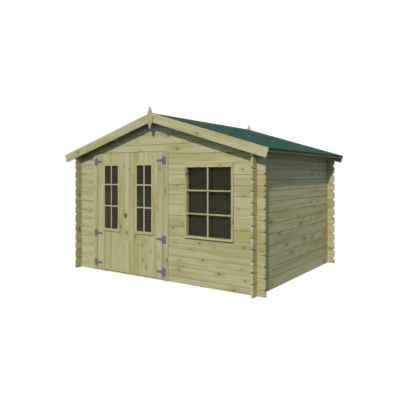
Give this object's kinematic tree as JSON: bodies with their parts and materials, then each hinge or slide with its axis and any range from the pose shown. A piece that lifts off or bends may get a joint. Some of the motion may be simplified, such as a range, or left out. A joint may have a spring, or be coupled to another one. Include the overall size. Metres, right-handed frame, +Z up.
{
  "type": "log cabin",
  "caption": "Garden log cabin with cross-notched log walls, a pitched felt roof, bargeboards and finials, glazed double doors and a fixed window.",
  "frame": {"origin": "on the ground under the middle of the cabin", "axes": "+X across the front, to the right seen from the doors; +Y to the back, so the doors face -Y; +Z up"},
  "size_m": [3.6, 2.8864, 2.4178],
  "materials": {
    "pine": "satin",
    "pine_trim": "satin",
    "roof_felt": "matte",
    "hinge_metal": "satin",
    "glass": "gloss"
  },
  "bodies": {
    "cabin": {"front_left_logs": "pine", "front_middle_logs": "pine", "front_right_logs": "pine", "front_window_logs": "pine", "door_lintel_log": "pine", "front_gable_logs": "pine", "left_wall_logs": "pine", "right_wall_logs": "pine", "back_wall_logs": "pine", "back_gable_logs": "pine", "ridge_purlin": "pine", "left_purlin": "pine", "right_purlin": "pine", "left_roof_boards": "pine", "right_roof_boards": "pine", "left_eave_board": "pine_trim", "right_eave_board": "pine_trim", "front_left_bargeboard": "pine_trim", "front_right_bargeboard": "pine_trim", "back_left_bargeboard": "pine_trim", "back_right_bargeboard": "pine_trim", "front_finial": "pine_trim", "back_finial": "pine_trim", "door_left_post": "pine_trim", "door_right_post": "pine_trim", "door_head": "pine_trim", "door_threshold": "pine_trim", "window_frame": "pine_trim", "left_roof_felt": "roof_felt", "right_roof_felt": "roof_felt", "left_hinge_plates": "hinge_metal", "right_hinge_plates": "hinge_metal", "window_glass": "glass"},
    "left_door": {"left_door_leaf": "pine", "left_door_trim": "pine_trim", "left_door_glass": "glass", "left_door_ledges": "pine", "left_hinge_straps": "hinge_metal", "door_knob": "hinge_metal"},
    "right_door": {"right_door_leaf": "pine", "right_door_trim": "pine_trim", "right_door_glass": "glass", "right_door_ledges": "pine", "right_hinge_straps": "hinge_metal"}
  },
  "joints": [
    {"name": "left_door_hinge", "type": "hinge", "parent": "cabin", "child": "left_door", "pos_m": [-1.183, -1.3165, 0.896], "axis": [0, 0, -1], "range_deg": [0, 140]},
    {"name": "right_door_hinge", "type": "hinge", "parent": "cabin", "child": "right_door", "pos_m": [0.129, -1.3165, 0.896], "axis": [0, 0, 1], "range_deg": [0, 170]}
  ]
}
